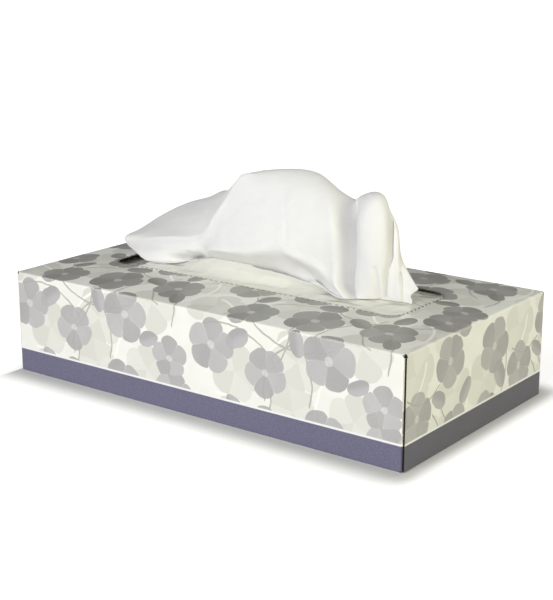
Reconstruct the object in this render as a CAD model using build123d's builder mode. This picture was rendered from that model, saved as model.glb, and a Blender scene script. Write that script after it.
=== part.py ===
"""Flat box of facial tissues: a folded paperboard carton with a torn-out opening in its top,
a slit film window glued under that opening, the interfolded stack inside, and one tissue
drawn up through the slit.

Frame: +X along the carton to its right end, +Y from the front panel to the back, +Z up.
The origin is the middle of the underside. Everything is in millimetres.
"""

from build123d import *

import os

# Carton
length = 230.0
width = 126.0
height = 52.0
board = 0.45  # caliper of the paperboard
fold_radius = 0.7  # of the middle of the board at every fold
seam_flap = 14.0  # strip glued inside the back panel
dust_flap = 50.0
bottom_flap = 40.0
flap_inset = 0.9  # how far an end flap stands in from the side panels
flap_root = 12.0  # length of panel that an end flap is drawn with

# Opening torn out of the top panel, and the stubs that its perforation leaves
end_land = 29.0  # panel left beyond each end of the opening
side_land = 38.5  # and along each side
opening_corner = 9.0
stub_pitch = 3.2
stub_width = 0.9
stub_depth = 0.45

# Film window
film = 0.1
film_border = 11.0  # glued outside the opening
film_corner = 4.0
slit_land = 7.0  # between the end of the slit and the end of the opening
slit_width = 4.2
tear_stop = 3.0  # radius of the round hole at each end of the slit

# Stack of interfolded tissues
stack_end_room = 7.0
stack_side_room = 7.5
stack_top_room = 5.0
stack_corner = 3.0
stack_crown = 0.8

# Tissue drawn up through the slit
sheet = 0.35  # two embossed plies and the air between them
sheet_rest = 0.3  # between its tail and the stack
tail_edge_room = 1.8  # from where the tail turns back to the stack's rounded edge
tail_turn = 1.4  # between the two layers of the tail
tail_start = 9.0  # where the tail leaves the neck, behind the slit
neck_drop = 1.5  # from the film down to the neck's flare
neck_flare = 6.0
neck_end_room = 4.0  # between the neck and the end of the slit
neck_side_room = 1.2  # between its pleats and the lips of the slit
tuft_overhang = 14.5  # left tip of the tuft past the end of the slit
tuft_depth = 33.0  # from the slit back to its free edge
tuft_rise = 56.0  # its top above the carton

opening_length = length - 2 * end_land
opening_width = width - 2 * side_land
slit_length = opening_length - 2 * slit_land
mid = board / 2
roof_z = height - mid
floor_z = mid
front_y = mid - width / 2
back_y = width / 2 - mid

# Three layers close each end, from the outside in: top flap, bottom flap, dust flaps
top_flap_x = length / 2 - mid
bottom_flap_x = top_flap_x - board
dust_flap_x = bottom_flap_x - board
panel_end = dust_flap_x - fold_radius

with BuildPart() as carton:
    # The four long panels and the glued seam are one strip wrapped round the stack
    with BuildSketch(Plane.YZ):
        with BuildLine():
            FilletPolyline(
                (back_y - board, seam_flap),
                (back_y - board, floor_z),
                (front_y, floor_z),
                (front_y, roof_z),
                (back_y, roof_z),
                (back_y, board),
                radius=fold_radius,
            )
        trace(line_width=board)
    extrude(amount=panel_end, both=True)

    # Top flap, folded down over the end
    with BuildSketch(Plane.XZ):
        with BuildLine():
            FilletPolyline(
                (panel_end - flap_root, roof_z),
                (top_flap_x, roof_z),
                (top_flap_x, board),
                radius=fold_radius,
            )
        trace(line_width=board)
    extrude(amount=width / 2 - flap_inset, both=True)

    # Bottom flap, folded up under it
    with BuildSketch(Plane.XZ):
        with BuildLine():
            FilletPolyline(
                (panel_end - flap_root, floor_z),
                (bottom_flap_x, floor_z),
                (bottom_flap_x, bottom_flap),
                radius=fold_radius,
            )
        trace(line_width=board)
    extrude(amount=width / 2 - 2 * flap_inset, both=True)

    # Dust flaps, folded in from the front and back panels
    with BuildSketch(Plane.XY.offset(flap_inset)):
        for panel_y, inward in ((front_y, 1), (back_y, -1)):
            with BuildLine() as dust_line:
                FilletPolyline(
                    (panel_end - flap_root, panel_y),
                    (dust_flap_x, panel_y),
                    (dust_flap_x, panel_y + inward * dust_flap),
                    radius=fold_radius,
                )
            trace(dust_line.line, line_width=board)
    extrude(amount=height - 2 * flap_inset)

    mirror(about=Plane.YZ)

    # Opening, with a stub left wherever the perforation was joined
    with BuildSketch(Plane.XY.offset(height)):
        outline = RectangleRounded(opening_length, opening_width, opening_corner).wire()
        stub_count = round(outline.length / stub_pitch)
        spots = [k / stub_count for k in range(stub_count)]
        with Locations(*[Location(outline @ t, (0, 0, outline.tangent_angle_at(t))) for t in spots]):
            Rectangle(stub_width, 2 * stub_depth, mode=Mode.SUBTRACT)
    extrude(amount=-2 * board, mode=Mode.SUBTRACT)

with BuildPart() as film_window:
    with BuildSketch(Plane.XY.offset(height - board)):
        RectangleRounded(
            opening_length + 2 * film_border, opening_width + 2 * film_border, film_corner
        )
        SlotCenterToCenter(slit_length, slit_width, mode=Mode.SUBTRACT)
        with Locations((-slit_length / 2, 0), (slit_length / 2, 0)):
            Circle(tear_stop, mode=Mode.SUBTRACT)
    extrude(amount=-film)

# The stack fills the carton, less the room that its tissues need to pull free
stack_length = length - 6 * board - 2 * stack_end_room
stack_width = width - 3 * board - 2 * stack_side_room
stack_top = height - board - film - stack_top_room

with BuildPart() as tissue_stack:
    with BuildSketch(Plane.YZ):
        with BuildLine():
            side = stack_width / 2
            shoulder = stack_top - stack_crown
            Polyline((-side, shoulder), (-side, board), (side, board), (side, shoulder))
            ThreePointArc((side, shoulder), (0, stack_top), (-side, shoulder))
        make_face()
    extrude(amount=stack_length / 2, both=True)
    fillet(tissue_stack.edges().filter_by(Axis.X), stack_corner)

# The tissue is a thin sheet of flat facets, laid through rows of points that run from its left
# edge to its right edge. The hidden rows come first: two flat layers on the stack, then the neck
# in the slit. The tuft's rows follow, up its front, over its top and down to the free edge
# behind, with y measured from the slit and z from the film.
film_top = height - board
low_layer = stack_top + sheet_rest + sheet / 2
high_layer = low_layer + tail_turn
tail_reach = stack_width / 2 - stack_corner - tail_edge_room
neck_edge = slit_length / 2 - neck_end_room
neck_pleat = slit_width / 2 - neck_side_room

tuft = [
    [(-77, -1, 2.5), (-61, -2.5, 4), (-48, -3, 4.5), (-37, -3, 5.5), (-22, -3, 7), (-4, -4, 7),
     (17, -4, 7), (36, -2, 7), (47, 0.5, 6.5), (60, -3, 6.5), (70, -2, 5.5), (78, -1, 3)],
    [(-84, -4, 5.5), (-63, -8, 9), (-44, -10.5, 11.5), (-33, -12, 17.5), (-22, -12, 25),
     (-4, -13, 28), (16, -13, 29), (36, -8, 27), (46, 4, 25.5), (60, -8, 27.5), (70, -5, 19),
     (81.5, -3, 7)],
    [(-93, -5, 8.8), (-63.5, -8, 15), (-39, -9, 20), (-27.5, -6, 32.7), (-19, -1, 49.7),
     (-4.5, 3, 54), (19, 5, 55.8), (37, 4, 49), (43, 7.5, 45), (60.5, -4, 52), (70, 0, 35),
     (84.5, -4, 10.8)],
    [(-93.5, 0, 11), (-72, 6, 20), (-54, 10, 26), (-42, 14, 36.5), (-28, 16, 45), (-8, 17, 48.5),
     (16, 19, 49.5), (34, 16, 43.5), (42, 18.5, 39), (59, 12, 45.5), (71, 9, 26.5), (82, 3, 10.5)],
    [(-92.5, 5, 11.5), (-86, 18, 20), (-73.6, 24, 27.8), (-55, 27, 33.5), (-36, 30, 30.5),
     (-10, 31, 25.5), (15, 33, 23.5), (32, 28, 21.5), (42, 30.5, 19.5), (58, 26, 20.5),
     (73, 15, 11.5), (80, 8, 7.5)],
]
drawn_reach, drawn_depth, drawn_rise = 93.5, 33.0, 56.0  # of the points above
pleats = (0, 0.4, -0.4, 0.2, -0.4, 0.3, -0.5, 0.4, 1, -0.9, 0.4, 0)  # shares of neck_pleat
columns = len(pleats)
facets_per_gap = 3  # between two neighbouring points, both ways


def spread(reach):
    return [reach * (2 * c / (columns - 1) - 1) for c in range(columns)]


def resample(points):
    """Points on a smooth curve through the given ones, with the given ones among them."""
    gaps = len(points) - 1
    curve = Edge.make_spline(points, parameters=[k / gaps for k in range(gaps + 1)])
    count = gaps * facets_per_gap
    return [curve @ (k / count) for k in range(count + 1)]


wider = (slit_length / 2 + tuft_overhang) / drawn_reach
deeper = tuft_depth / drawn_depth
taller = tuft_rise / drawn_rise
tail_x = spread(stack_length / 2)
flare_x = spread(neck_edge + neck_flare)
neck_y = [neck_pleat * share for share in pleats]
neck = [Vector(x, y, film_top) for x, y in zip(spread(neck_edge), neck_y)]
climb = [neck] + [
    [Vector(x * wider, y * deeper, film_top + z * taller) for x, y, z in row] for row in tuft
]
spines = [resample(spine) for spine in zip(*climb)]
sheet_rows = [
    [Vector(x, 0, low_layer) for x in tail_x],
    [Vector(x, tail_reach, low_layer) for x in tail_x],
    [Vector(x, tail_reach + tail_turn / 2, low_layer + tail_turn / 2) for x in tail_x],
    [Vector(x, tail_reach, high_layer) for x in tail_x],
    [Vector(x, tail_start, high_layer) for x in tail_x],
    [Vector(x, y, film_top - film - neck_drop) for x, y in zip(flare_x, neck_y)],
]
sheet_rows = [resample(row) for row in sheet_rows + [list(row) for row in zip(*spines)]]


def layer(side):
    """The sheet's points, moved to its front face or its back face."""
    moved = []
    last = len(sheet_rows) - 1
    for r, row in enumerate(sheet_rows):
        before, after = sheet_rows[max(r - 1, 0)], sheet_rows[min(r + 1, last)]
        line = []
        for c, point in enumerate(row):
            across = row[min(c + 1, len(row) - 1)] - row[max(c - 1, 0)]
            normal = across.cross(after[c] - before[c]).normalized()
            line.append(point + normal * side * sheet / 2)
        moved.append(line)
    return moved


def facets(rows):
    """Two flat triangles between each four neighbouring points, split the shorter way."""
    faces = []
    for low, high in zip(rows, rows[1:]):
        for c in range(len(low) - 1):
            corners = [low[c], low[c + 1], high[c + 1], high[c]]
            if (corners[1] - corners[3]).length < (corners[0] - corners[2]).length:
                corners = corners[1:] + corners[:1]
            faces.append(Face(Wire.make_polygon(corners[:3])))
            faces.append(Face(Wire.make_polygon(corners[2:] + corners[:1])))
    return faces


front, back = layer(-1), layer(1)
skin = facets(front) + facets(back)
for k in (0, -1):
    skin += facets([front[k], back[k]])
    skin += facets([[row[k] for row in front], [row[k] for row in back]])

with BuildPart() as pulled_tissue:
    add(Solid(Shell(skin)))

os.makedirs("parts", exist_ok=True)
pieces = {
    "carton": carton,
    "film_window": film_window,
    "tissue_stack": tissue_stack,
    "pulled_tissue": pulled_tissue,
}
for name, piece in pieces.items():
    piece.part.label = name
    export_step(piece.part, f"parts/{name}.step")
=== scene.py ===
import math

import bmesh
import bpy
import numpy as np
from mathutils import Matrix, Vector


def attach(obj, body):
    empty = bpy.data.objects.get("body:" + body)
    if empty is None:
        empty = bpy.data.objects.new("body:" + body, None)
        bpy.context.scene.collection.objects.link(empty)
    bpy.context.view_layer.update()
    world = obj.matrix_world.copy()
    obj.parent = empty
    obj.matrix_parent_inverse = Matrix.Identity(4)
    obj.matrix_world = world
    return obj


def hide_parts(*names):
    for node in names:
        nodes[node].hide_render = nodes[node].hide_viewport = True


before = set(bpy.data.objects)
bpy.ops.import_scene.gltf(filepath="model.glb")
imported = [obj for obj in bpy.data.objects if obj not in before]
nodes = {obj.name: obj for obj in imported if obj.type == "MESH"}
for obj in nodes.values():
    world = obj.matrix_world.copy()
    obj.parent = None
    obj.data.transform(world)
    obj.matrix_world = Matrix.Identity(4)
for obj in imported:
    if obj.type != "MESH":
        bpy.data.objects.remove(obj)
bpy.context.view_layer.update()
scene = bpy.context.scene
mm = 0.001
print("frame loaded:", ", ".join(sorted(nodes)))


class Wire:
    # An output of a shader's node. Sums, products and comparisons with it add their Math nodes.
    def __init__(self, tree, socket=None):
        self.tree, self.socket = tree, socket

    def node(self, kind, values=None, output=0, **settings):
        # Any node: its settings first, then the values or links of its sockets
        made = self.tree.nodes.new("ShaderNode" + kind)
        for name, value in settings.items():
            setattr(made, name, value)
        for name, value in (values or {}).items():
            if isinstance(value, Wire):
                self.tree.links.new(value.socket, made.inputs[name])
            else:
                made.inputs[name].default_value = value
        return Wire(self.tree, made.outputs[output])

    def maths(self, operation, *others):
        return self.node("Math", dict(enumerate((self, *others))), operation=operation)

    def vector(self, operation, *others, output=0):
        return self.node(
            "VectorMath", dict(enumerate((self, *others))), output, operation=operation
        )

    def noise(self, scale, detail, output=0):
        values = {"Vector": self, "Scale": scale, "Detail": detail}
        return self.node("TexNoise", values, output)

    def bump(self, strength):
        # The normal of a surface with this height in mm
        return self.node("Bump", {"Strength": strength, "Distance": mm, "Height": self})

    def parts(self):
        split = self.node("SeparateXYZ", {0: self})
        return [Wire(self.tree, s) for s in split.socket.node.outputs]

    def __add__(self, other):
        return self.maths("ADD", other)

    def __sub__(self, other):
        return self.maths("SUBTRACT", other)

    def __rsub__(self, other):
        return self.node("Math", {0: other, 1: self}, operation="SUBTRACT")

    def __mul__(self, other):
        return self.maths("MULTIPLY", other)

    def __pow__(self, other):
        return self.maths("POWER", other)

    def __lt__(self, other):
        return self.maths("LESS_THAN", other)

    def __gt__(self, other):
        return self.maths("GREATER_THAN", other)

    def __abs__(self):
        return self.maths("ABSOLUTE")

    __radd__, __rmul__ = __add__, __mul__

    def least(self, other):
        return self.maths("MINIMUM", other)

    def most(self, other):
        return self.maths("MAXIMUM", other)

    def rise(self, low, high):
        # Goes smoothly from 0 at low to 1 at high
        if low > high:
            return 1 - self.rise(high, low)
        return self.node(
            "MapRange",
            {"Value": self, "From Min": low, "From Max": high},
            interpolation_type="SMOOTHSTEP",
        )

    def tint(self, without, full):
        # A colour that goes from the first to the second as this value goes from 0 to 1
        return self.node(
            "Mix", {0: self, 6: without, 7: full}, output=2, data_type="RGBA"
        )


def colour(red, green, blue):
    # Tones are written as they are seen on a screen, from 0 to 255
    return tuple(((c / 255 + 0.055) / 1.055) ** 2.4 for c in (red, green, blue)) + (1,)


def newMaterial(name, **fixed):
    material = bpy.data.materials.new(name)
    material.use_nodes = True
    shader = material.node_tree.nodes["Principled BSDF"]
    for socket, value in fixed.items():
        shader.inputs[socket.replace("_", " ")].default_value = value
    return material, shader, Wire(material.node_tree)


def feed(wire, shader, socket):
    wire.tree.links.new(wire.socket, shader.inputs[socket])


def show(wire, material):
    # Makes this shader the one that the material shows
    feed(wire, material.node_tree.nodes["Material Output"], "Surface")


def inMillimetres(base):
    place = base.node("TexCoord", output="Object")
    return place.node("VectorMath", {0: place, "Scale": 1 / mm}, operation="SCALE")


# Camera, solved from the carton's corners
shot = {"place": (388.5, -515.0, 220.7), "heading": 36.91, "down": 15.46, "roll": -0.05,
        "lens": 81.5, "sensor": 36.0, "frame": (553, 600)}
camera = bpy.data.objects.new("camera", bpy.data.cameras.new("camera"))
scene.collection.objects.link(camera)
scene.camera = camera
camera.data.lens, camera.data.sensor_width = shot["lens"], shot["sensor"]
camera.location = [c * mm for c in shot["place"]]
camera.rotation_euler = [
    math.radians(turn) for turn in (90 - shot["down"], shot["roll"], shot["heading"])
]
turned = np.array(camera.rotation_euler.to_matrix())
focal = shot["lens"] / shot["sensor"] * shot["frame"][1]  # in pixels


def seen(across, down, y):
    # The point in mm that the photo shows at a pixel, where it lies at this y
    ray = turned @ (across - shot["frame"][0] / 2, shot["frame"][1] / 2 - down, -focal)
    start = np.array(shot["place"])
    return start + ray * (y - start[1]) / ray[1]


def pixels(points):
    # Where the photo shows these points
    local = (points - np.array(shot["place"])) @ turned
    across = shot["frame"][0] / 2 - focal * local[..., 0] / local[..., 2]
    down = shot["frame"][1] / 2 + focal * local[..., 1] / local[..., 2]
    return np.stack([across, down], -1)


# Carton: printed board. Its print is worked out on the flat blank, so it runs on over the folds.
cartonLook = {
    "length": 230.0,
    "width": 126.0,
    "height": 52.0,
    "bulge": 3.0,  # how far the tissues press the top panel up in its middle
    "bulgeDepth": 0.6,  # how much of the box's top goes with it
    "cuts": ((0, 110, 5.5), (1, 60, 5)),  # axis, reach and step of the grid that bulges
    "sharp": 35,  # degrees from which a fold shows as an edge
    "skin": 0.35,  # what lies deeper than this is bare board
    "topSkin": 0.4,  # the same in the top
    "square": 0.7,  # how squarely an end or a side faces out
    "tilt": 0.6,  # and how squarely the folds do that are printed with it
    "sideFold": (0.8, 2.0, 1.0),  # start and end of a side's fold, from the end, and its depth
    "corner": (1.9, 1.6),  # how far in from the end and from the side the painted shadow of an open corner reaches
    "notchShadow": (1.2, 1.4, 1.5),  # the same of the painted shadow in the hole at its top, and how far down
    "opening": (172.0, 49.0, 9.0),  # length, width and corner
    "bandTop": 40.0,  # how far below the top edge the plain band starts
    "bandLine": 1.0,  # how far above it the pale line starts
    "blur": 0.1,  # of their edges
    "cream": colour(237, 237, 231),
    "light": colour(244, 244, 240),  # patches of the cream, and print that is rubbed thin
    "shade": colour(214, 214, 206),  # ghost blossoms
    "petal": colour(185, 183, 185),
    "petalDark": colour(167, 166, 168),
    # petal ink on the top panel: the walls' ink drawn darker, as painted shade of the less lit top
    "shadedTopPetal": colour(146, 145, 142),
    "shadedTopPetalDark": colour(131, 130, 127),
    "stem": colour(168, 162, 152),
    "whiteStem": colour(246, 246, 240),
    "band": colour(100, 98, 125),
    # the band on the ends, drawn darker and greyer than on the front, as painted shade
    "bandEndShaded": colour(85, 84, 96),
    "edgeLine": colour(240, 240, 240),
    "underside": colour(226, 226, 222),
    # bare grey board, drawn darker still as painted shade on its cut edges and inside the box
    "rawBoardAndShade": colour(96, 92, 84),
    "paintedShadow": colour(40, 38, 36),  # painted shadow inside the open corners and the hole at their top
    "torn": colour(104, 99, 90),  # board laid bare where the perforation tore, darkened further as the painted shadow of its torn stubs
    # How much each of them hides of what lies under it
    "cover": {"patch": 0.5, "ghost": 0.55, "deepGhost": 0.35, "stem": 0.8, "petal": 0.72,
              "blotch": 0.4, "fullest": 0.97, "gap": 0.3, "heart": 0.35, "worn": 0.5,
              "torn": 0.95, "fibre": 0.3},
    "endGhostPaintedLight": 0.25,  # how much fainter the ghosts are on the ends, a painted light that makes them paler
    "endPetalShade": 0.2,  # and how much greyer the petals, towards the top's darker ink, as painted shade
    "tile": (118.0, 92.0),  # the pattern starts again after this
    "waver": 1.1,  # how far a drawn line strays, as a brush does
    "waverScale": 0.12,
    "patches": (0.045, 0.42, 0.6),  # scale, and where they start and are full
    "petals": 5,  # of each blossom
    "petalNotch": 0.78,  # how far out two petals part, where 1 is the blossom's size
    "petalSwell": 0.24,  # how much further the middle of a petal reaches
    "petalRound": 0.45,
    "petalStep": 2.4,  # how the ink differs from one petal to the next
    "petalInk": (-0.8, 0.8),  # such a pair says where it starts and where it is full
    "petalGap": (0.05, 0.02),
    "gapFrom": (0.45, 0.75),
    "heart": (0.17, 0.14),
    "bud": (1.02, 0.98),
    "budInk": (-0.5, 0.5),
    "edge": 0.012,
    "ghostEdge": 0.02,
    "stemWidth": 0.8,
    "whiteStemWidth": 1.3,
    "stemEdge": 0.12,
    "fibreScale": 1.6,
    "rawFibre": (0.3, 0.7),
    "wornReach": 0.9,  # how far from a fold the print may be rubbed thin
    "wornEdge": (-1.0, -0.55),
    "wornFibre": (0.35, 0.7),
    "nickPitch": 3.2,  # from one nick of the perforation to the next
    "nickEdge": (-0.2, 0.4),
    "tornReach": (1.15, 0.45),  # how far from the opening the torn board and its painted shadow end, and are full
    "roughness": (0.78, 0.5, 0.06),  # of bare board, how much less of print, and of the fibres
    "relief": (1.2, 0.004),  # of the panels, and of the fibres
    "panelScale": 0.03,  # of the relief of the panels
}
blossoms = [  # middle of each, its size and its turn, in mm and degrees on one tile
    (12, 14, 13, 10), (43, 7, 11.5, 50), (77, 19, 13.5, 80), (105, 3, 10.5, 20),
    (28, 39, 12, 35), (59, 44, 13.5, 5), (95, 48, 12.5, 60), (9, 66, 12, 70),
    (42, 72, 11.5, 15), (74, 75, 13, 40), (107, 78, 11.5, 5),
]
buds = [  # the same, and how slim it is
    (27, 20, 7.5, 30, 0.6), (60, 24, 6.5, 100, 0.62), (78, 52, 7, 150, 0.6),
    (24, 57, 6, 60, 0.6), (57, 62, 7, 10, 0.62), (103, 37, 6.5, 120, 0.58),
    (92, 66, 6.5, 75, 0.6), (92, 10, 6, 20, 0.6), (26, 80, 6.5, 140, 0.6),
]
ghosts = [  # pale blossoms that lie under the others
    (26, 4, 14, 0), (60, 15, 15, 40), (94, 28, 15, 70), (8, 38, 14, 20), (44, 54, 14, 55),
    (78, 60, 14, 15), (110, 62, 13, 50), (24, 70, 14, 30), (58, 84, 14, 65), (90, 86, 13, 10),
]
stems = [  # middle, radius, turn and half angle of each curved stem
    (86, 26, 22, 30, 50), (38, 96, 30, 20, 36), (66, 92, 24, 150, 44), (2, 44, 20, 0, 40),
    (20, -8, 34, 70, 42), (62, 60, 40, -100, 36), (100, 30, 30, 170, 48), (30, 30, 26, -20, 40),
    (80, 88, 34, -80, 44), (10, 90, 36, -30, 30), (50, 30, 30, 100, 34), (112, 52, 28, 200, 40),
]
whiteStems = [
    (88, 50, 24, 10, 44), (0, 20, 26, 40, 40), (70, 0, 30, 130, 46), (20, 56, 28, 60, 40),
    (104, 84, 34, 190, 44), (46, 90, 30, -60, 36),
]


def fromSpot(place, x, y, turn, scale=(1, 1, 1)):
    # Local coordinates, seen from the nearest copy of a spot of the tile
    across, along = cartonLook["tile"]
    low, high = (x - across / 2, y - along / 2, -1), (x + across / 2, y + along / 2, 1)
    return place.node(
        "Mapping",
        {
            "Vector": place.vector("WRAP", high, low),
            "Location": (x, y, 0),
            "Rotation": (0, 0, math.radians(turn)),
            "Scale": scale,
        },
        vector_type="TEXTURE",
    )


def nearest(place, spots):
    # Local coordinates in the nearest of the spots, where 1 is its size, and the distance there
    best = span = None
    for x, y, size, turn, *slim in spots:
        local = fromSpot(place, x, y, turn, (size, size * (slim[0] if slim else 1), 1))
        away = local.vector("LENGTH", output=1)
        if best is None:
            best, span = local, away
        else:
            values = {0: away < span, 4: best, 5: local}
            best = local.node("Mix", values, output=1, data_type="VECTOR")
            span = away.least(span)
    return best, span


def blossom(look, local, span, edge):
    # Round petals: what lies inside them, how deep the ink of each is, and the gaps
    x, y, _ = local.parts()
    turn = y.maths("ARCTAN2", x)
    petal = abs((turn * (look["petals"] / 2)).maths("COSINE"))
    reach = span - (petal ** look["petalRound"]) * look["petalSwell"]
    inside = reach.rise(look["petalNotch"] + edge, look["petalNotch"] - edge)
    which = (turn * (look["petals"] / 2 / math.pi)).maths("ROUND")
    deep = (which * look["petalStep"]).maths("SINE").rise(*look["petalInk"])
    gap = (petal * span).rise(*look["petalGap"]) * span.rise(*look["gapFrom"])
    return inside, deep, gap


def arcs(place, spots, thick, edge):
    # Thin curved stems, each an arc of a circle
    found = None
    for x, y, size, turn, spread in spots:
        local = fromSpot(place, x, y, turn)
        across = abs(local.vector("LENGTH", output=1) - size)
        along = local.parts()[0] > size * math.cos(math.radians(spread))
        line = across.rise(thick / 2 + edge, thick / 2 - edge) * along
        found = line if found is None else found.most(line)
    return found


def pattern(look, flat, onEnd, onTop):
    # Blossoms, buds and stems over the cream, from the faintest to the darkest
    cover, far, stemEdge = look["cover"], look["waver"], look["stemEdge"]
    waver = flat.noise(look["waverScale"], 1.0, output=1)
    waver = waver.vector("MULTIPLY_ADD", (2 * far, 2 * far, 0), (-far, -far, 0))
    drawn = flat.vector("ADD", waver)
    scale, start, full = look["patches"]
    blotch = flat.noise(scale, 2.0)
    ground = (blotch.rise(start, full) * cover["patch"]).tint(look["cream"], look["light"])

    local, span = nearest(drawn, ghosts)
    ghost, ghostDeep, _ = blossom(look, local, span, look["ghostEdge"])
    # fainter ghosts on the ends are painted light that makes them paler
    ghost = ghost * (1 - onEnd * look["endGhostPaintedLight"])
    ghost = ghost * (cover["ghost"] + cover["deepGhost"] * ghostDeep)
    ground = ghost.tint(ground, look["shade"])
    whiteStem = arcs(drawn, whiteStems, look["whiteStemWidth"], stemEdge)
    ground = whiteStem.tint(ground, look["whiteStem"])
    stem = arcs(drawn, stems, look["stemWidth"], stemEdge)
    ground = (stem * cover["stem"]).tint(ground, look["stem"])

    local, span = nearest(drawn, buds)
    budDeep = local.parts()[1].rise(*look["budInk"])
    # buds on the top panel take its darker ink, painted shade
    budInk = onTop.tint(
        budDeep.tint(look["petal"], look["petalDark"]),
        budDeep.tint(look["shadedTopPetal"], look["shadedTopPetalDark"]),
    )
    ground = span.rise(*look["bud"]).tint(ground, budInk)

    local, span = nearest(drawn, blossoms)
    petals, deep, gap = blossom(look, local, span, look["edge"])
    sideInk = deep.tint(look["petal"], look["petalDark"])
    # on the ends the petals go part way to the top's darker ink: painted shade
    sideInk = (onEnd * look["endPetalShade"]).tint(sideInk, look["shadedTopPetal"])
    # the top panel's petals take its darker ink, painted shade
    ink = onTop.tint(sideInk, deep.tint(look["shadedTopPetal"], look["shadedTopPetalDark"]))
    inked = petals * (cover["petal"] + cover["blotch"] * blotch).least(cover["fullest"])
    ground = inked.tint(ground, ink)
    ground = (petals * gap * cover["gap"]).tint(ground, look["light"])
    return (span.rise(*look["heart"]) * cover["heart"]).tint(ground, look["light"])


def fromOpening(look, x, y):
    # How far out from the edge of the opening, which has round corners
    length, width, corner = look["opening"]
    pastX, pastY = abs(x) - (length / 2 - corner), abs(y) - (width / 2 - corner)
    outside = (pastX.most(0.0) ** 2 + pastY.most(0.0) ** 2) ** 0.5
    return outside + pastX.most(pastY).least(0.0) - corner


def printedBoard(look):
    material, shader, base = newMaterial("printedBoard", IOR=1.5)
    halfLength, halfWidth, height = look["length"] / 2, look["width"] / 2, look["height"]
    cover = look["cover"]
    place = inMillimetres(base)
    x, y, z = place.parts()
    facingX, facingY, facingZ = base.node("NewGeometry", output="True Normal").parts()

    def nearEnd(inset):
        return abs(x) > halfLength - inset

    def nearSide(inset):
        return abs(y) > halfWidth - inset

    # Which faces of the board are which
    square, tilt, skin = look["square"], look["tilt"], look["skin"]
    onEnd, onSide = abs(facingX) > square, abs(facingY) > square
    onTop = (facingZ > tilt) * (z > height - look["topSkin"])
    under = (facingZ < -tilt) * (z < skin)
    outer = (abs(facingX) > tilt) * nearEnd(skin)
    outer = outer.most((abs(facingY) > tilt) * nearSide(skin)).most(onTop)
    start, end, deep = look["sideFold"]
    outer = outer.most((abs(x) < halfLength - start) * nearEnd(end) * nearSide(deep))

    # The pattern on the flat blank, where each wall goes on from the edge of the top
    depth = height - z
    u = x + onEnd * x.maths("SIGN") * depth
    v = y + onSide * y.maths("SIGN") * depth
    flat = base.node("CombineXYZ", {0: u, 1: v, 2: 0.0})
    ground = pattern(look, flat, onEnd, onTop)

    # Plain band along the foot, with a pale line over it; it is drawn darker on the ends as
    # painted shade
    wall, blur = (onEnd + onSide).least(1.0), look["blur"]
    band = onEnd.tint(look["band"], look["bandEndShaded"])
    lineTop = look["bandTop"] - look["bandLine"]
    for top, ink in ((lineTop, look["edgeLine"]), (look["bandTop"], band)):
        ground = (wall * depth.rise(top - blur, top + blur)).tint(ground, ink)

    # Print rubbed thin along the folds
    fibre, reach = place.noise(look["fibreScale"], 4.0), look["wornReach"]
    toSide, toEnd = (abs(y) - halfWidth).most(-reach), (abs(x) - halfLength).most(-reach)
    toTop = (z - height).most(-reach).least(0.0)
    fold = (toSide + toEnd).most(toSide + toTop).most(toEnd + toTop)
    worn = fold.rise(*look["wornEdge"]) * fibre.rise(*look["wornFibre"]) * cover["worn"]
    ground = worn.tint(ground, look["light"])

    # Board laid bare round the opening, with the painted shadow of its torn stubs
    nick = ((x + y) * (2 * math.pi / look["nickPitch"])).maths("SINE")
    torn = onTop * fromOpening(look, x, y).rise(*look["tornReach"])
    torn = torn * (nick + fibre * 2 - 1).rise(*look["nickEdge"])
    ground = (torn * cover["torn"]).tint(ground, look["torn"])

    # Bare board inside, drawn dark grey as partly painted shade, and painted shadow in the open
    # corners and the hole at their top
    board = fibre.rise(*look["rawFibre"]) * cover["fibre"]
    board = board.tint(look["rawBoardAndShade"], look["underside"])
    inEnd, inSide = look["corner"]
    # painted shadow in the open corners
    corner = nearEnd(inEnd) * nearSide(inSide)
    board = corner.tint(board, look["paintedShadow"])
    # the left corner's edge that faces front or back stays pale bare board, without painted shadow
    board = (corner * (abs(facingY) > tilt) * (x < 0)).tint(board, look["underside"])
    shade = outer.tint(under.tint(board, look["underside"]), ground)
    # painted shadow in the hole at the top of a corner
    inEnd, inSide, deep = look["notchShadow"]
    notchShadow = nearEnd(inEnd) * nearSide(inSide) * (z > height - deep)
    feed(notchShadow.tint(shade, look["paintedShadow"]), shader, "Base Color")

    bare, smoother, fibres = look["roughness"]
    feed(bare - outer * smoother + fibre * fibres, shader, "Roughness")
    panels, fibres = look["relief"]
    relief = place.noise(look["panelScale"], 1.0) * panels + fibre * fibres
    feed(relief.bump(0.5), shader, "Normal")
    return material


def bulged(x, y):
    # How far the top panel stands up, in mm
    ends = 1 - (2 * x / cartonLook["length"]) ** 4
    sides = 1 - (2 * y / cartonLook["width"]) ** 2
    return cartonLook["bulge"] * np.clip(ends, 0, 1) * np.clip(sides, 0, 1)


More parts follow.
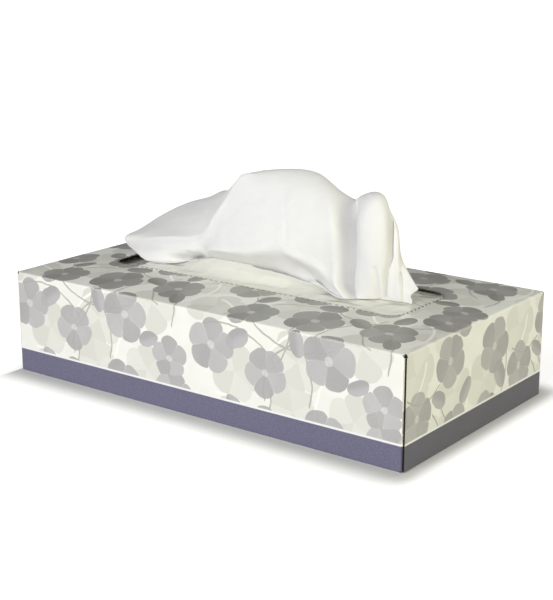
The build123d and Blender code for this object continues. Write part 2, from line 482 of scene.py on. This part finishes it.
def boardShell(look):
    # The CAD board, cut into a grid so that its top panel can bulge
    made = nodes["carton"].copy()
    made.data = nodes["carton"].data.copy()
    made.name = "board"
    made.parent = None
    for key in [k for k in made.keys() if k.startswith("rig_")]:
        del made[key]
    scene.collection.objects.link(made)
    work = bmesh.new()
    work.from_mesh(made.data)
    bmesh.ops.remove_doubles(work, verts=work.verts, dist=1e-6)
    for axis, reach, step in look["cuts"]:
        for place in np.arange(-reach, reach + 0.1, step):
            point, normal = [0, 0, 0], [0, 0, 0]
            point[axis], normal[axis] = place * mm, 1
            bmesh.ops.bisect_plane(
                work, geom=work.verts[:] + work.edges[:] + work.faces[:],
                plane_co=point, plane_no=normal, dist=1e-7,
            )
    for v in work.verts:
        if v.co.z > (look["height"] - look["bulgeDepth"]) * mm:
            v.co.z += bulged(v.co.x / mm, v.co.y / mm) * mm
    work.to_mesh(made.data)
    work.free()
    if "custom_normal" in made.data.attributes:
        made.data.attributes.remove(made.data.attributes["custom_normal"])
    made.data.shade_smooth()
    made.data.set_sharp_from_angle(angle=math.radians(look["sharp"]))
    made.data.materials.clear()
    made.data.materials.append(printedBoard(look))
    return made


board = boardShell(cartonLook)
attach(board, "root")
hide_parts("carton")
print("carton printed")


def ramp(value, start, full):
    # Goes evenly from 0 at start to 1 at full
    return np.clip((value - start) / (full - start), 0, 1)


def smoothCurve(points, knots, at):
    # Natural cubic spline through points (first axis) at the knots, read at the given places
    points, knots = np.asarray(points, float), np.asarray(knots, float)
    gaps = np.diff(knots)
    count = len(knots)
    matrix = np.eye(count)
    right = np.zeros(points.shape)
    for k in range(1, count - 1):
        matrix[k, k - 1 : k + 2] = gaps[k - 1], 2 * (gaps[k - 1] + gaps[k]), gaps[k]
        right[k] = 6 * (
            (points[k + 1] - points[k]) / gaps[k] - (points[k] - points[k - 1]) / gaps[k - 1]
        )
    bend = np.linalg.solve(matrix, right.reshape(count, -1)).reshape(points.shape)
    k = np.clip(np.searchsorted(knots, at, side="right") - 1, 0, count - 2)
    shape = (-1,) + (1,) * (points.ndim - 1)
    gap = gaps[k].reshape(shape)
    b = ((at - knots[k]).reshape(shape)) / gap
    a = 1 - b
    return (
        a * points[k]
        + b * points[k + 1]
        + ((a**3 - a) * bend[k] + (b**3 - b) * bend[k + 1]) * gap**2 / 6
    )


def wave(x, y, reach, seed):
    # Smooth noise from -1 to 1 with bumps about as wide as reach
    total, count = np.zeros(np.broadcast(x, y).shape), 7
    rng = np.random.default_rng(seed)
    for _ in range(count):
        angle, start = rng.uniform(0, 2 * math.pi, 2)
        rate = 2 * math.pi / reach * rng.uniform(0.5, 1.3)
        total = total + np.sin((x * math.cos(angle) + y * math.sin(angle)) * rate + start)
    return total / (count / 2)


def gridMesh(name, rows, thick, material):
    # A sheet through rows of points in mm, with a little thickness
    count, width = rows.shape[:2]
    mesh = bpy.data.meshes.new(name)
    quads = [
        (r * width + c, r * width + c + 1, (r + 1) * width + c + 1, (r + 1) * width + c)
        for r in range(count - 1)
        for c in range(width - 1)
    ]
    mesh.from_pydata((rows.reshape(-1, 3) * mm).tolist(), [], quads)
    mesh.shade_smooth()
    made = bpy.data.objects.new(name, mesh)
    scene.collection.objects.link(made)
    if thick:
        solid = made.modifiers.new("thickness", "SOLIDIFY")
        solid.thickness, solid.offset = thick * mm, 0
    made.data.materials.append(material)
    return made


# Film: clear, glued flat round the opening and slack inside it. The tissue pushes its front lip
# out and up, so its shape is worked out before the tissue's.
filmLook = {
    "top": 51.55,
    "thick": 0.1,
    "length": 194.0,
    "width": 71.0,
    "slit": 79.0,  # half its length
    "lip": 2.1,  # from the middle of the slit to its edge
    "stop": 3.0,  # radius of the round hole at its left end
    "stopShort": 6.0,  # how much sooner it closes at the right
    "steps": (220, 40),  # of each half, along the slit and out from it
    "free": ((86.0, 80.0), (24.5, 20.5)),  # where it is glued and where it is free, both ways
    "sag": (0.5, 0.6, 0.6),  # its depth, and the shares of it that are even and rippled
    "ripples": ((1.0, 0.45, 9, 4), (0.4, 1.0, 7, 5)),  # share, stretch, width and seed
    "standing": (1.2, 16),  # how far both lips stand up, and from how far away
    "lifting": 10,  # from how far away the front lip is lifted
    "ruffle": (0.07, 0.3, 14, 6),  # share, stretch, width and seed of its waves
    "lipAlong": (-60, -52, -44, -18, 6, 20, 31, 42),  # places along the front lip
    "lipOut": (2.1, 2.4, 5.2, 8.0, 7.5, 5.4, 3.0, 2.1),  # how far it is pushed out there
    "lipUp": (0.0, 0.3, 2.8, 5.4, 3.9, 2.0, 0.4, 0.0),
    "gapLeft": 4.0,  # how far it hangs open below the board
    "gapRight": 1.2,
    "grain": (0.3, 0.6, 0.06, 0.12),  # scale, strength, turn and stretch of its fine ripples
    "milky": 0.82,
    "haze": colour(247, 247, 238),
}


def frontLip(x):
    # How far the tissue pushes the front lip out and up
    x = np.asarray(x, float)
    places = filmLook["lipAlong"]
    at = np.clip(x, places[0], places[-1]).ravel()
    both = smoothCurve(np.array([filmLook["lipOut"], filmLook["lipUp"]]).T, places, at)
    return both[:, 0].reshape(x.shape), both[:, 1].reshape(x.shape)


def gaping(x, y):
    # How far the film hangs open below the board, at the left end and at the back right
    left = filmLook["gapLeft"] * ramp(x, -70, -82) * ramp(abs(y), 24, 17)
    right = filmLook["gapRight"] * ramp(x, 45, 57) * ramp(x, 84, 78)
    return left + right * ramp(y, 17, 22) * ramp(y, 34, 29)


def raisedLip(x, y):
    # How far both lips stand up, and the front one more
    out, up = frontLip(x)
    away = abs(y) - np.where(y < 0, out, filmLook["lip"])
    high, reach = filmLook["standing"]
    both = high * ramp(away, reach, 0) ** 2 * ramp(abs(x), *filmLook["free"][0])
    share, stretch, wide, seed = filmLook["ruffle"]
    ruffled = up * (1 + share * wave(x, y * stretch, wide, seed))
    return both + np.where(y < 0, ruffled * ramp(away, filmLook["lifting"], 0) ** 1.5, 0)


def filmHeight(x, y):
    return filmLook["top"] + bulged(x, y) + raisedLip(x, y) - gaping(x, y)


def filmMaterial(look):
    material, _, base = newMaterial("clearFilm")
    scale, strength, turn, stretch = look["grain"]
    values = {"Vector": inMillimetres(base), "Rotation": (0, 0, turn), "Scale": (stretch, 1, 1)}
    bump = base.node("Mapping", values).noise(scale, 3.0).bump(strength)
    gloss = base.node("BsdfGlossy", {"Color": (1, 1, 1, 1), "Roughness": 0.08, "Normal": bump})
    clear = base.node("BsdfTransparent", {"Color": (0.93, 0.93, 0.9, 1)})
    edge = base.node("Fresnel", {"IOR": 1.7, "Normal": bump})
    haze = base.node("BsdfDiffuse", {"Color": look["haze"], "Normal": bump})
    body = base.node("MixShader", {0: look["milky"], 1: clear, 2: haze})
    show(base.node("MixShader", {0: edge, 1: body, 2: gloss}), material)
    return material


def filmHalf(look, side):
    # The grid of one half, from the slit out: the front one is -1 and the back one 1
    along, out = look["steps"]
    halfLength, halfWidth, slit = look["length"] / 2, look["width"] / 2, look["slit"]
    x = np.linspace(-halfLength, halfLength, along + 1)[None, :]
    t = np.linspace(0, 1, out + 1)[:, None]
    stop = np.clip(look["stop"] ** 2 - (-x - slit) ** 2, 0, None) ** 0.5
    inside = (x > -slit) & (x < slit - look["stopShort"])
    lip = np.where(inside, frontLip(x)[0] if side < 0 else look["lip"], stop)
    y = side * (lip + (halfWidth - lip) * t)
    x = x + 0 * y
    free = ramp(abs(x), *look["free"][0]) * ramp(abs(y), *look["free"][1])
    ripple = sum(
        share * wave(x * stretch, y, wide, seed)
        for share, stretch, wide, seed in look["ripples"]
    )
    deep, even, waves = look["sag"]
    z = look["top"] - look["thick"] / 2 + bulged(x, y)
    z = z - free * deep * (even + waves * ripple) - gaping(x, y)
    z = z + free * raisedLip(x, y)
    return np.stack([x, y, z], -1)


# Tissue: each row runs from its left edge to its right edge. A point is a pixel of the photo, and
# how far back it lies in mm. The rows go up the front, over the crest and down behind.
tissueLook = {
    "paper": colour(240, 240, 239),
    "shade": colour(238, 238, 238),
    "through": 0.1,  # how much light it lets through
    "fibre": (1.8, 0.05),  # scale and height
    "soft": (0.16, 0.8),
    "thick": 0.3,
    "flat": 213 * mm,
    "neck": (-70, 76),
    "neckWave": (0.9, 2.1),  # depth of its pleats, and their turn from column to column
    "flare": (1.06, 4),  # how much wider the neck is below the film, and how far down
    "stepsAcross": 12,
    "stepsUp": 16,
    "crispColumns": 6,  # from the left tip, where the crest is a sharp crease
    "crispFade": 1.5,
    "wrinkles": ((0.35, 34, 11), (0.12, 13, 12)),  # depth, width and seed
    "wrinkleFrom": 12,  # how far above its foot they are full
    "columnWidth": 8,
    "held": ((-51, -46), (33, 25)),  # where the front lip starts to hold it, from both ends
    "behindLip": 0.6,
    "lean": (1.2, 9),  # how fast it may lean out above the lip, and how far up
    "lift": 0.35,  # of its middle above the film
    "restFrom": (2, 3.5),  # how far behind the slit it starts to rest on the film, and does
    "smoothing": 0.5,
    "rounds": 4,
    "tailSide": 106.6,
    "tailReach": 50.0,
    "tailStart": 9,
    "tailLow": 46.925,
    "tailHigh": 48.325,
    "tailRows": 12,
    "tailTurn": (30, 60, 90, 120, 150),
    "bridgeRows": 5,
}
tissueRows = {
    "base": [
        (160, 264, -14), (172, 265, -11), (187, 265, -7), (203, 267, -6.7), (221, 270.5, -6.7),
        (235, 272.5, -6), (252, 275, -4.5), (270, 278, -4), (295, 282.5, -4), (318, 288, -6.6),
        (335, 294, -10.3), (346, 298.5, -12.5), (351, 300, -12.5), (358, 300.5, -11),
        (369, 300.5, -8.5), (381, 301, -6), (390, 302, -5), (398, 303.5, -4.5), (403, 304.5, -4),
        (408, 305, -3.7),
    ],
    "low": [
        (148, 261, -13), (166, 261, -11), (182, 260, -7), (200, 261, -6.5), (219, 264, -7.8),
        (233, 266, -8.2), (250, 268, -8.2), (268, 270, -8.2), (293, 273, -8.2), (316, 278, -8.8),
        (333, 283, -10.5), (342, 288, -11), (359.5, 290, -2.5), (355.5, 290, -9.5),
        (368, 290, -10.5), (382, 290, -8), (391, 293, -6), (399, 296, -6), (405, 299, -4),
        (412, 303, -4),
    ],
    "middle": [
        (138, 253.5, -11), (158, 254, -11), (176, 254, -9.6), (197, 254, -10.6), (216, 254, -12),
        (230, 254, -12.8), (247, 254, -13.2), (265, 254, -13.4), (290, 255, -13.2),
        (313, 258, -12.7), (328, 262, -11.5), (340.5, 265, -9.5), (361.5, 267, 0),
        (356.5, 266, -8.5), (368, 264, -12), (384, 265, -9), (392, 272, -6), (398, 281, -6),
        (404, 289, -4), (411, 297, -4),
    ],
    "upper": [
        (129.5, 246.5, -7), (152, 246.5, -8.5), (174, 246, -9.3), (198, 244.5, -9.6),
        (215, 238, -9.5), (229, 230, -10), (246, 222, -10.4), (263, 217, -10.4),
        (287, 215, -10.4), (311, 217, -10.8), (327, 221, -11), (340, 227, -8.5), (363.5, 230, 3),
        (357.5, 227, -7.5), (368, 221, -10.5), (385, 228, -8), (391, 242, -5), (397, 260, -5),
        (403, 276, -3.5), (415, 292, -3.5),
    ],
    "crest": [
        (125.3, 241, -4), (147, 238.2, -5), (173, 236.7, -6.8), (200, 235, -7.2), (213, 218, -6.5),
        (227, 197, -4), (240, 176, -1), (254, 174, 1), (278, 173, 2), (303, 173, 3),
        (322, 178.5, 3), (338, 191.5, 1), (356, 201, 6), (359.5, 198.5, 1), (374, 193.5, -3),
        (386, 200, -2), (391, 213.5, -1), (399, 232, -1), (402, 258, -1), (418, 289, -3),
    ],
    "behind": [
        (125.5, 237, -3), (141.5, 232.8, 0), (165.5, 225.5, 5), (190, 217, 8), (206, 208, 12),
        (219, 197, 15), (234, 187, 17), (254, 182, 17), (280, 180, 17), (306, 182, 18),
        (326, 189, 18), (340, 200, 17), (351, 208, 19), (360, 206, 16), (373, 201, 12),
        (382, 206, 10), (387.5, 217, 9), (393, 236, 7), (399, 260, 5), (415, 288, 0),
    ],
    "back": [
        (128.3, 233.8, -1), (140, 228.8, 6), (156, 218.6, 16), (175, 208.3, 22), (195, 200.5, 26),
        (212, 195.8, 28), (228, 190.8, 30), (250, 203, 31), (275, 210, 32), (303, 217, 33),
        (324, 223, 32), (340, 229, 31), (352, 234, 31), (361, 236, 29), (367, 236, 26),
        (375, 240, 24), (382, 248, 21), (388, 260, 16), (396, 272, 11), (409, 289, 2),
    ],
}
pleats = [  # a line of pixels on the front, how wide it is in pixels, and how deep in mm
    ([(391, 222), (390.5, 257), (386.5, 272), (385, 297)], 1.8, 2.6),
    ([(374, 268), (379, 299)], 1.6, 1.8),
    ([(400, 274), (402, 301)], 1.6, 1.5),
    ([(287, 252), (318, 268), (349, 297)], 4.5, -1.6),
    ([(200, 262), (250, 266), (300, 276)], 7.0, 1.2),
    ([(298, 268), (306, 276), (318, 286)], 6.0, 2.6),
    ([(262, 262), (281, 264)], 9.0, 1.6),
    ([(200, 252), (190, 266)], 8.0, 3.5),
    ([(250, 250), (290, 245)], 9.0, -1.0),
    ([(212, 252), (262, 253)], 9.0, -1.3),
    ([(283, 174), (286, 215), (288, 248)], 1.6, 0.25),
    ([(247, 200), (286, 197)], 1.4, 0.3),
]


def awayFrom(line, points):
    # Distance in pixels from a line of pixels
    nearestYet = np.full(points.shape[:-1], 1e9)
    for a, b in zip(np.array(line[:-1], float), np.array(line[1:], float)):
        along = np.clip(((points - a) @ (b - a)) / ((b - a) @ (b - a)), 0, 1)
        nearestYet = np.minimum(
            nearestYet, np.linalg.norm(points - a - along[..., None] * (b - a), axis=-1)
        )
    return nearestYet


def smoothTuft(look):
    # The neck in the slit and the drawn rows, made smooth both ways. It gives the points, the
    # place of each column, how far up each row is, and how far up each drawn row is.
    drawn = np.array([[seen(*point) for point in row] for row in tissueRows.values()])
    columns = drawn.shape[1]
    deep, turn = look["neckWave"]
    neckX, neckY = np.linspace(*look["neck"], columns), deep * np.sin(np.arange(columns) * turn)
    neck = np.stack([neckX, neckY, filmHeight(neckX, neckY)], 1)
    wider, down = look["flare"]
    flare = neck * (wider, 1, 1) - (0, 0, down)
    climb = np.concatenate([flare[None], neck[None], drawn])
    across = np.linspace(0, columns - 1, (columns - 1) * look["stepsAcross"] + 1)
    climb = smoothCurve(climb.transpose(1, 0, 2), np.arange(columns), across).transpose(1, 0, 2)
    steps = np.linalg.norm(np.diff(climb, axis=0), axis=2).mean(1)
    knots = np.concatenate([[0], np.cumsum(steps)])
    up = np.concatenate(
        [np.linspace(a, b, look["stepsUp"], endpoint=False) for a, b in zip(knots, knots[1:])]
        + [knots[-1:]]
    )

    # The crest is a soft roll, and a sharp crease near the left tip
    names = ["flare", "neck", *tissueRows]
    crest = names.index("crest")
    soft = smoothCurve(climb, knots, up)
    crisp = soft.copy()
    below, above = up <= knots[crest], up >= knots[crest]
    crisp[below] = smoothCurve(climb[: crest + 1], knots[: crest + 1], up[below])
    crisp[above] = smoothCurve(climb[crest:], knots[crest:], up[above])
    share = ramp(across, look["crispColumns"] + look["crispFade"], look["crispColumns"])
    tuft = soft + (crisp - soft) * share[None, :, None]
    return tuft, across, up, dict(zip(names, knots))


def hiddenTail(look, columns):
    # Two layers on the stack, joined by a round turn at their edge
    low, high, reach = look["tailLow"], look["tailHigh"], look["tailReach"]
    half = (high - low) / 2
    lines = [(y, low) for y in np.linspace(0, reach, look["tailRows"])]
    for angle in look["tailTurn"]:
        out, rise = math.sin(math.radians(angle)), 1 - math.cos(math.radians(angle))
        lines.append((reach + half * out, low + half * rise))
    lines += [(y, high) for y in np.linspace(reach, look["tailStart"], look["tailRows"])]
    x = np.linspace(-look["tailSide"], look["tailSide"], columns)
    return np.array([np.stack([x, 0 * x + y, 0 * x + z], 1) for y, z in lines])


def tissueGrid(look):
    tuft, across, up, at = smoothTuft(look)
    x, y, z = tuft[..., 0], tuft[..., 1], tuft[..., 2]  # a change to one changes the tuft

    # Pleats on the front, then soft wrinkles all over
    front = ((up > at["base"]) & (up <= at["crest"]))[:, None]
    spots = pixels(tuft)
    for line, wide, deep in pleats:
        away = awayFrom(line, spots)
        y += np.where(front, deep * np.exp(-((away / wide) ** 2)), 0)
    place = across[None, :] * look["columnWidth"], up[:, None]
    wrinkles = sum(deep * wave(*place, wide, seed) for deep, wide, seed in look["wrinkles"])
    y += ramp(up, at["base"], at["base"] + look["wrinkleFrom"])[:, None] * wrinkles

    # Behind the film's front lip where that stands up, and on the film everywhere else
    lipY = frontLip(x)[0]
    lean, most = look["lean"]
    overLip = np.clip(z - filmHeight(x, -lipY), 0, most)
    furthest = look["behindLip"] - lipY - lean * overLip
    held = ramp(x, *look["held"][0]) * ramp(x, *look["held"][1])
    y += held * np.clip(furthest - y, 0, None)
    clear = filmHeight(x, y) + look["lift"]
    start, full = look["restFrom"]
    onFilm = ramp(np.maximum(-lipY - y, y - start), 0, full - start)
    onFilm = onFilm * (up > at["neck"])[:, None]
    z += onFilm * np.clip(clear - z, 0, None)

    # Its low rows are evened out after that
    low = ((up > at["neck"]) & (up < at["middle"]))[1:-1, None, None] * look["smoothing"]
    for _ in range(look["rounds"]):
        beside = tuft[:-2, 1:-1] + tuft[2:, 1:-1] + tuft[1:-1, :-2] + tuft[1:-1, 2:]
        tuft[1:-1, 1:-1] += low * (beside / 4 - tuft[1:-1, 1:-1])

    # The tail, and from there up to the slit
    tail = hiddenTail(look, len(across))
    start, end = tail[-1], tuft[0]
    steps = np.linspace(0, 1, look["bridgeRows"] + 2)[1:-1]
    bridge = np.array([start + (end - start) * t for t in steps])
    return np.concatenate([tail, bridge, tuft])


def tissuePaper(look):
    material, shader, base = newMaterial(
        "tissuePaper", Roughness=0.92, IOR=1.35, Base_Color=look["paper"]
    )
    place = inMillimetres(base)
    (fibreScale, fibreHigh), (softScale, softHigh) = look["fibre"], look["soft"]
    fibre, soft = place.noise(fibreScale, 5.0), place.noise(softScale, 3.0)
    feed(soft.rise(0.3, 0.7).tint(look["shade"], look["paper"]), shader, "Base Color")
    bump = (fibre * fibreHigh + soft * softHigh).bump(0.6)
    feed(bump, shader, "Normal")
    paper = Wire(base.tree, shader.outputs[0])
    lit = base.node("BsdfTranslucent", {"Color": look["paper"], "Normal": bump})
    show(base.node("MixShader", {0: look["through"], 1: paper, 2: lit}), material)
    return material


grid = tissueGrid(tissueLook)
tissue = gridMesh("tissue", grid, tissueLook["thick"], tissuePaper(tissueLook))
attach(tissue, "root")
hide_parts("pulled_tissue")
print("tissue drawn:", grid.shape)

filmClear = filmMaterial(filmLook)
halves = [
    gridMesh(name, filmHalf(filmLook, side), filmLook["thick"], filmClear)
    for name, side in (("filmA", -1), ("filmB", 1))
]
bpy.ops.object.select_all(action="DESELECT")
for half in halves:
    half.select_set(True)
bpy.context.view_layer.objects.active = halves[0]
bpy.ops.object.join()
film = bpy.context.view_layer.objects.active
film.name = "film"
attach(film, "root")
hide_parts("film_window")
print("film laid")


# Stack: folded sheets lying on each other, with soft folded edges along the sides
stackLook = {
    "length": 213.3,
    "width": 109.65,
    "low": 0.45,
    "high": 46.45,
    "crown": 0.8,
    "corner": 3.0,  # how far in from its sides the top and the bottom end
    "sides": (0.5, 2.5),  # how far above the bottom its sides start, and end below the shoulder
    "steps": (60, 110, 80),  # across, up and along
    "layer": 0.9,
    "edges": (0.7, 0.35, 0.25),  # how far in they lie, how far out they fold, and their drift
    "drift": (6, 60, 7),  # stretch, width and seed
    "waves": (0.25, 0.2, 30, 8),  # how far down the top lies, and its waves: depth, width, seed
    "paper": colour(240, 241, 240),
    "shade": colour(230, 231, 230),
}


def stackMaterial(look):
    material, shader, base = newMaterial("stackedPaper", Roughness=0.95, IOR=1.35)
    soft = inMillimetres(base).noise(0.2, 4.0)
    feed(soft.rise(0.3, 0.7).tint(look["shade"], look["paper"]), shader, "Base Color")
    feed(soft.bump(0.6), shader, "Normal")
    return material


def stackRows(look):
    # One ring of points round the section for each step along the length
    half, low, high = look["width"] / 2, look["low"], look["high"]
    across, upward, along = look["steps"]
    flat, shoulder = half - look["corner"], high - look["crown"]
    sideLow, sideHigh = low + look["sides"][0], shoulder - look["sides"][1]
    ring = [(y, low) for y in np.linspace(-flat, flat, across)]
    ring += [(half, z) for z in np.linspace(sideLow, sideHigh, upward)]
    for y in np.linspace(flat, -flat, across):
        ring.append((y, high - look["crown"] * (y / half) ** 2))
    ring += [(-half, z) for z in np.linspace(sideHigh, sideLow, upward)]
    ring = np.array(ring + ring[:1])
    rows = np.zeros((along, len(ring), 3))
    rows[..., 0] = np.linspace(-look["length"] / 2, look["length"] / 2, along)[:, None]
    rows[..., 1:] = ring
    x, y, z = rows[..., 0], rows[..., 1], rows[..., 2]  # a change to one changes the rows

    touching = 0.01
    onSide = abs(y) > half - touching
    inset, folds, drifts = look["edges"]
    stretch, wide, seed = look["drift"]
    fold = abs(np.sin(z * math.pi / look["layer"]))
    drift = wave(x, z * stretch, wide, seed)
    y -= np.where(onSide, np.sign(y) * (inset - folds * fold + drifts * drift), 0)
    onTop = (z > shoulder - touching) & ~onSide
    inset, deep, wide, seed = look["waves"]
    z -= np.where(onTop, inset + deep * wave(x, y, wide, seed), 0)
    return rows


def closedStack(look):
    made = gridMesh("stack", stackRows(look), 0, stackMaterial(look))
    work = bmesh.new()
    work.from_mesh(made.data)
    bmesh.ops.remove_doubles(work, verts=work.verts, dist=1e-6)
    work.verts.ensure_lookup_table()
    bmesh.ops.holes_fill(work, edges=[e for e in work.edges if e.is_boundary])
    bmesh.ops.recalc_face_normals(work, faces=work.faces)
    work.to_mesh(made.data)
    work.free()
    return made


stack = closedStack(stackLook)
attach(stack, "root")
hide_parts("tissue_stack")
print("stack laid")

# Floor, lamps and the pale room round them, in metres
studio = {
    "floor": colour(226, 226, 226),
    "floorSize": 12,
    "lift": 0.55,  # what the camera sees beyond the floor's own light, clear of the carton
    "liftFar": 0.85,
    "paintedShadowReach": (0.002, 0.02),  # how far from the carton the first starts, and is full; nearer in, its held-back glow paints a shadow
    "far": (0.03, 0.2),
    "ends": 1.8,  # how much nearer that is at the right end
    "leftEnd": 9,  # and how much nearer still at the left
    "room": 0.25,
    "key": {"place": (0.1, -1.4, 0.52), "aim": (0, 0, 0.04), "size": 1.0, "power": 16.3,
            "tone": (1, 1, 1)},
    "back": {"place": (0.5, 1.4, 0.5), "aim": (0, 0, 0.04), "size": 0.8, "power": 9,
             "tone": (1, 1, 1)},
    "side": {"place": (1.5, -0.2, 0.45), "aim": (0, 0, 0.04), "size": 0.8, "power": 8.1,
             "tone": (1, 0.97, 0.6)},
    "left": {"place": (-1.35, 0.75, 0.28), "aim": (0, 0, 0.04), "size": 0.8, "power": 3.6,
             "tone": (1, 1, 1)},
    "pool": {"place": (0.0, -0.3, 0.85), "aim": (-0.02, -0.02, 0.055), "cone": 13.5,
             "size": 0.05, "power": 3.8, "tone": (1, 1, 1)},
}


def forCamera(base):
    return base.node("LightPath", output="Is Camera Ray")


def paperFloor(look):
    # It keeps the carton's shadow, and is white to the camera further out. Its glow fades towards
    # the carton, which paints a shadow round it, tighter at the ends and tightest at the left.
    material, shader, base = newMaterial(
        "paperFloor", Roughness=1.0, Base_Color=look["floor"], Specular_IOR_Level=0
    )
    x, y, _ = base.node("TexCoord", output="Object").parts()
    pastEnd = (abs(x) - cartonLook["length"] / 2 * mm).most(0.0)
    pastEnd = pastEnd * (look["ends"] + (x < 0) * look["leftEnd"])
    pastSide = (abs(y) - cartonLook["width"] / 2 * mm).most(0.0)
    beyond = (pastEnd ** 2 + pastSide ** 2) ** 0.5
    # less glow near the carton: a painted shadow round it
    lift = beyond.rise(*look["paintedShadowReach"]) * look["lift"]
    # and a broad painted shade: the floor is greyer out to 0.2 m
    lift = lift + beyond.rise(*look["far"]) * (look["liftFar"] - look["lift"])
    glow = base.node("Emission", {"Color": (1, 1, 1, 1), "Strength": forCamera(base) * lift})
    paper = Wire(base.tree, shader.outputs[0])
    show(base.node("AddShader", {0: paper, 1: glow}), material)
    return material


bpy.ops.mesh.primitive_plane_add(size=studio["floorSize"])
floor = bpy.context.object
floor.name = "floor"
floor.data.materials.append(paperFloor(studio))

world = bpy.data.worlds.new("room")
scene.world = world
world.use_nodes = True
base = Wire(world.node_tree)
backdrop = world.node_tree.nodes["Background"]
backdrop.inputs["Color"].default_value = (1, 1, 1, 1)
feed(studio["room"] + forCamera(base) * (1 - studio["room"]), backdrop, "Strength")

for name in ("key", "side", "back", "left", "pool"):
    plan = studio[name]
    kind = "SPOT" if "cone" in plan else "AREA"
    lamp = bpy.data.objects.new(name, bpy.data.lights.new(name, kind))
    if kind == "SPOT":
        lamp.data.spot_size, lamp.data.spot_blend = math.radians(plan["cone"]), 1
        lamp.data.shadow_soft_size = plan["size"]
    else:
        lamp.data.shape, lamp.data.size = "DISK", plan["size"]
    lamp.data.energy, lamp.data.color = plan["power"], plan["tone"]
    lamp.visible_glossy = kind == "SPOT"  # no glare of the wide lamps on the top panel
    lamp.location = plan["place"]
    aim = Vector(plan["aim"]) - lamp.location
    lamp.rotation_euler = aim.to_track_quat("-Z", "Y").to_euler()
    scene.collection.objects.link(lamp)
scene.view_settings.view_transform = "Standard"
print("studio lit")
